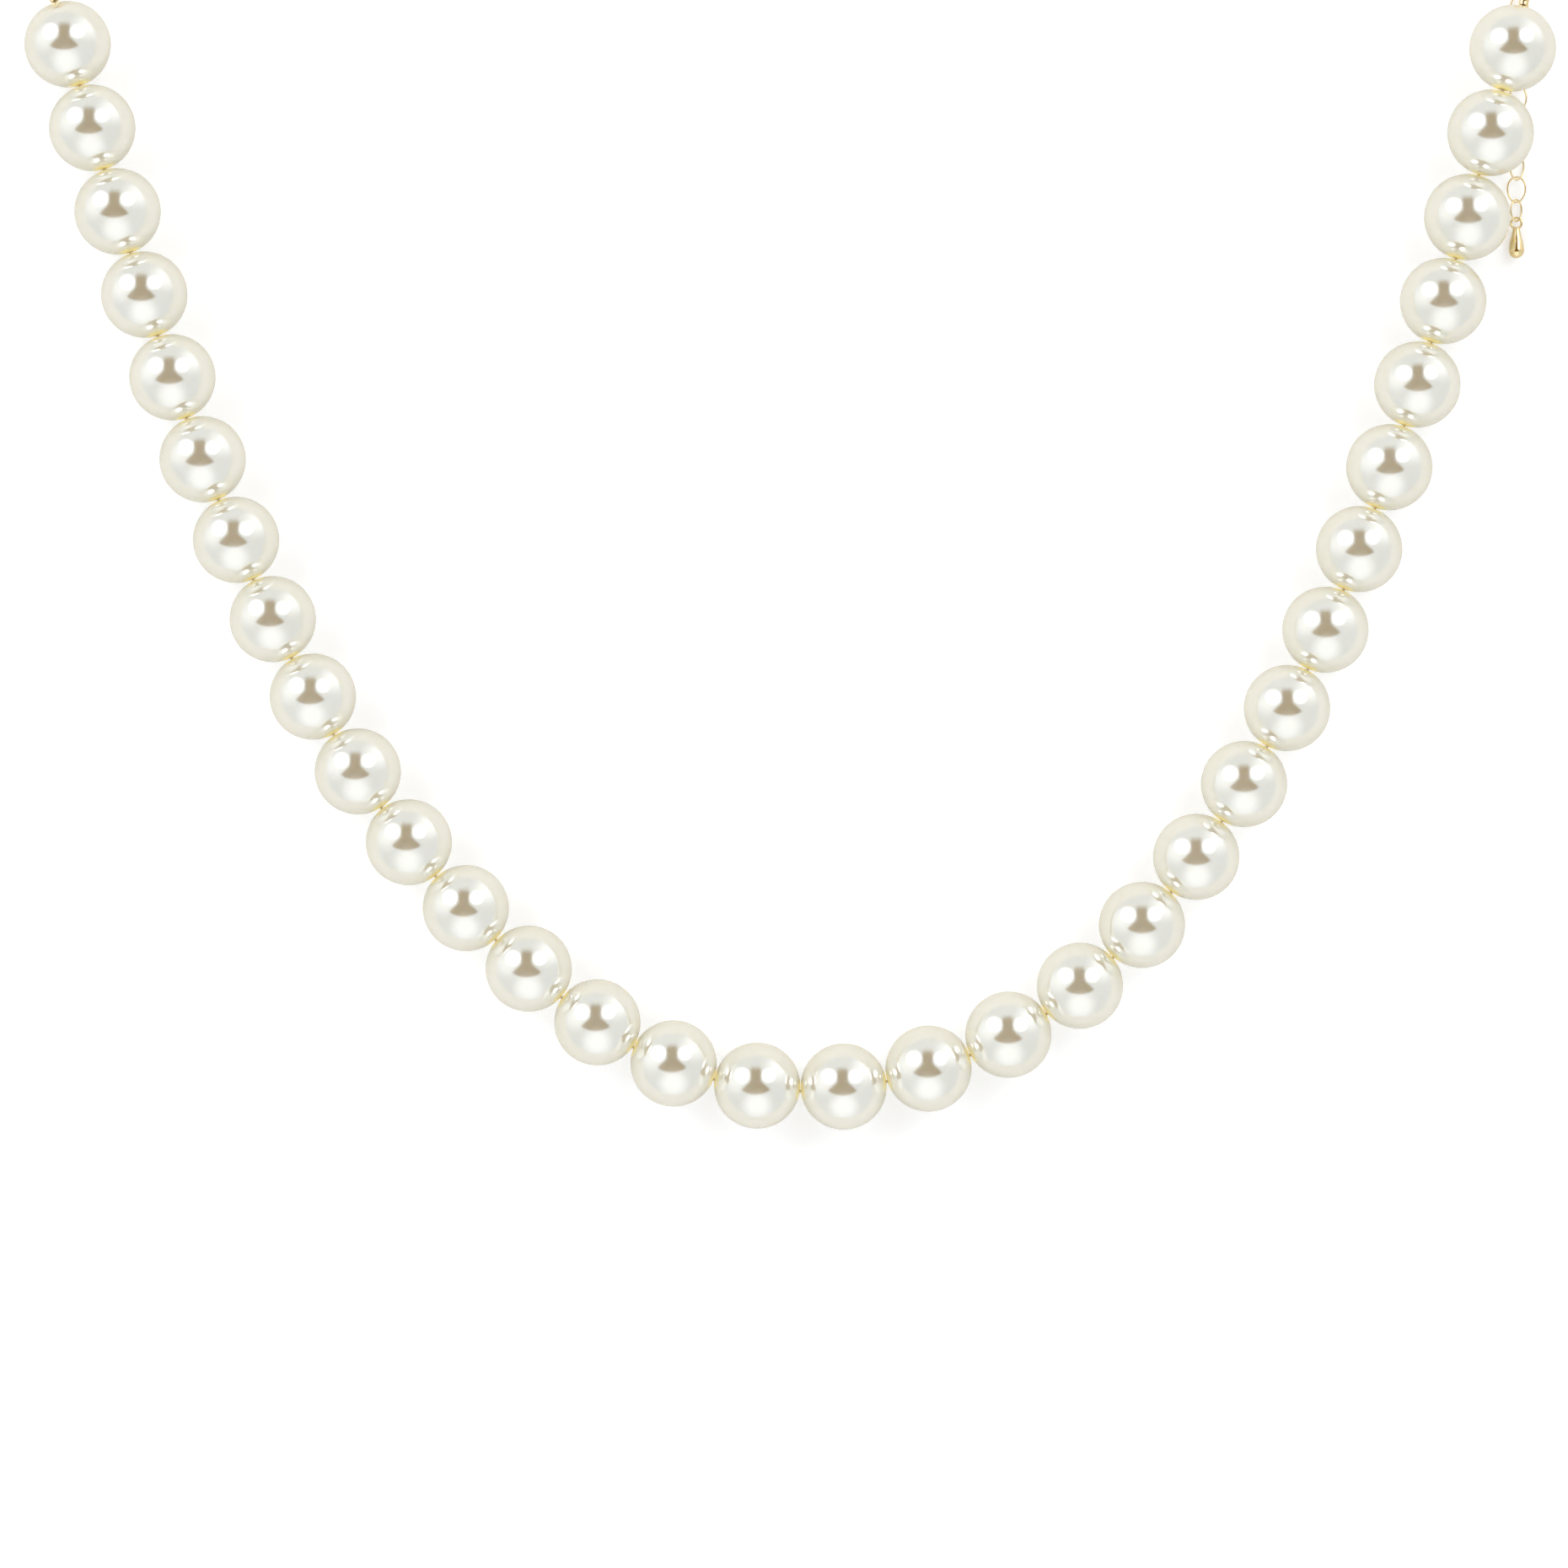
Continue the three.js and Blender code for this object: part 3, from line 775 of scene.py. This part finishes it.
def drop():
    """A solid teardrop with an eye at its narrow end."""
    lie = Lie("drop")
    eye_reach = DROP["eye_radius"] + DROP["eye_wire"]
    eye = lie.middle + (lie.half[0] - eye_reach * MM) * lie.long
    axes = Matrix((lie.cross, lie.long, lie.flat)).transposed().to_4x4()
    circle = []
    for step in range(48):
        angle = 2 * math.pi * step / 48
        circle.append(DROP["eye_radius"] * MM * Vector((math.cos(angle), math.sin(angle), 0)))
    ring = sweep(circle, DROP["eye_wire"] * MM, True, 20)
    bulb_radius = DROP["bulb_radius"]
    bulb = -DROP["eye_radius"] - DROP["length"] + bulb_radius
    profile = []
    for degrees in range(-89, 9, 7):
        angle = math.radians(degrees)
        profile.append((bulb_radius * math.cos(angle), bulb + bulb_radius * math.sin(angle)))
    # The spline starts one point early to leave the bulb smoothly, and that stretch is dropped.
    neck = [Vector(p) for p in (*profile[-2:], *DROP_NECK)]
    profile += [tuple(p) for p in spline(neck, 6)[7:]]
    body = lathe([(radius * MM, height * MM) for radius, height in profile], 48, False)
    shape = placed(Matrix.Translation(eye) @ axes, joined(ring, body))
    add("drop_body", shape, "gold", "drop", "drop")


# ---------------------------------------------------------------- the clasp


def clasp_place():
    """The clasp's own axes: X from its eye to the tip of its hook, Z up."""
    across = strand_end(pearl_name(1))[1]
    across = Vector((across.x, across.y, 0)).normalized()
    side = Vector((0, 0, 1)).cross(across)
    turn = Matrix((across, side, Vector((0, 0, 1)))).transposed().to_4x4()
    pivot = box_middle("clasp_rivet") - (turn @ Vector((PIVOT[0], PIVOT[1], 0))) * MM
    return Matrix.Translation(pivot) @ turn @ Matrix.Scale(MM, 4)


def bore_tool(place):
    """The hole through the clasp's body or its lever for the rivet."""
    ends = [(BODY["bore"], -BODY["thickness"]), (BODY["bore"], BODY["thickness"])]
    return new_piece("bore", placed(pivot_axis(place), lathe(ends, 40, False)), "gold")


def pivot_axis(place):
    """Turns a shape about Y into one about the pivot."""
    return place @ Matrix.Translation((*PIVOT, 0)) @ Matrix.Rotation(math.pi / 2, 4, "X")


def clasp_body(place):
    centre = Vector((HOOK["x"], 0))
    belly = bezier(BELLY, 22)
    outline = corner(Vector(HEEL[1]), Vector(BELLY[0]), belly[4], 9) + belly[5:]
    # The nose is round, and just clear of the circle that the lever's tip sweeps about the pivot.
    middle_radius = (HOOK["outer"] + HOOK["inner"]) / 2
    half_width = (HOOK["outer"] - HOOK["inner"]) / 2
    nose = crossing(Vector(PIVOT), HOOK["sweep"] + half_width, centre, middle_radius)
    tip = (nose - centre).angle_signed(Vector((1, 0)))
    outline += arc(centre, HOOK["outer"], -math.pi / 2, tip, 44)[1:]
    outline += arc(nose, half_width, tip, tip + math.pi, 18)[1:-1]
    outline += arc(centre, HOOK["inner"], tip, -math.pi / 2, 36)
    outline += bezier(THROAT, 14)[1:]
    outline += arc(SHOULDER["middle"], SHOULDER["radius"], 0.0, math.pi / 2, 9)
    back = bezier(BACK, 20)
    outline += back[1:-3] + corner(back[-4], Vector(BACK[-1]), Vector(HEEL[0]), 9)
    shape = plate(outline, BODY["thickness"], BODY["rim"], BODY["depth"])
    body = new_piece("clasp_frame", placed(place, shape), "gold")
    corners = [Vector(c) for c in SLOT["corners"]]
    rounded = eased(corners, SLOT["corner_radius"])
    slot = placed(place, plate(rounded, SLOT["thickness"], SLOT["rim"], SLOT["rim"]))
    tools = [
        ("UNION", new_piece("eye", clasp_eye(place), "gold")),
        ("DIFFERENCE", new_piece("slot", slot, "gold")),
        ("DIFFERENCE", bore_tool(place)),
    ]
    carve(body, tools)
    return body


def clasp_eye(place):
    """A flat ring, its section a square with rounded corners."""
    half, soft = EYE["half_thickness"], EYE["rim"]
    middle_radius = (EYE["inner"] + EYE["outer"]) / 2
    half_width = (EYE["outer"] - EYE["inner"]) / 2
    section = []
    for x, y, start in ((1, 1, 0), (-1, 1, 90), (-1, -1, 180), (1, -1, 270)):
        radius = middle_radius + x * (half_width - soft)
        for step in range(6):
            angle = math.radians(start + 18 * step)
            height = y * (half - soft) + soft * math.sin(angle)
            section.append((radius + soft * math.cos(angle), height))
    return placed(place @ Matrix.Rotation(math.pi / 2, 4, "X"), lathe(section, 56))


def clasp_lever(place):
    hub = arc(PIVOT, LEVER["hub"], LEVER["from"], LEVER["to"], 26)
    corners = [hub[-1], *[Vector(c) for c in LEVER_CORNERS], hub[0]]
    # The hub's own two corners are left out, so that its arc runs on into the next ones.
    outline = hub[1:-1] + eased(corners, LEVER_CORNER_RADIUS)[6:-6]
    shape = plate(outline, LEVER["thickness"], LEVER["rim"], LEVER["depth"])
    lever = new_piece("clasp_thumb_lever", placed(place, shape), "gold")
    carve(lever, [("DIFFERENCE", bore_tool(place))])
    return lever


def clasp():
    place = clasp_place()
    assign(clasp_body(place), "clasp", "clasp_body")
    assign(clasp_lever(place), "clasp_lever", "clasp_lever")
    head = [(radius, height + BODY["thickness"] / 2) for radius, height in RIVET_HEAD]
    shaft = [(RIVET_SHAFT["radius"], height) for height in RIVET_SHAFT["heights"]]
    rivet = head + shaft + [(radius, -height) for radius, height in reversed(head)]
    pin = placed(pivot_axis(place), lathe(rivet[::-1], 40, False))
    add("clasp_pin", pin, "gold", "clasp", "clasp_rivet")
    bends = [Vector((*bend, 0)) for bend in SPRING_BENDS]
    spring = placed(place, sweep(spline(bends, 10), SPRING_WIRE, False, 14))
    add("clasp_spring_wire", spring, "spring_steel", "clasp", "clasp_spring")


# ---------------------------------------------------------------- run

camera()
studio()
floor()
strand()
threads()
strand_ends()
wire_loops()
jump_rings()
chain()
drop()
clasp()
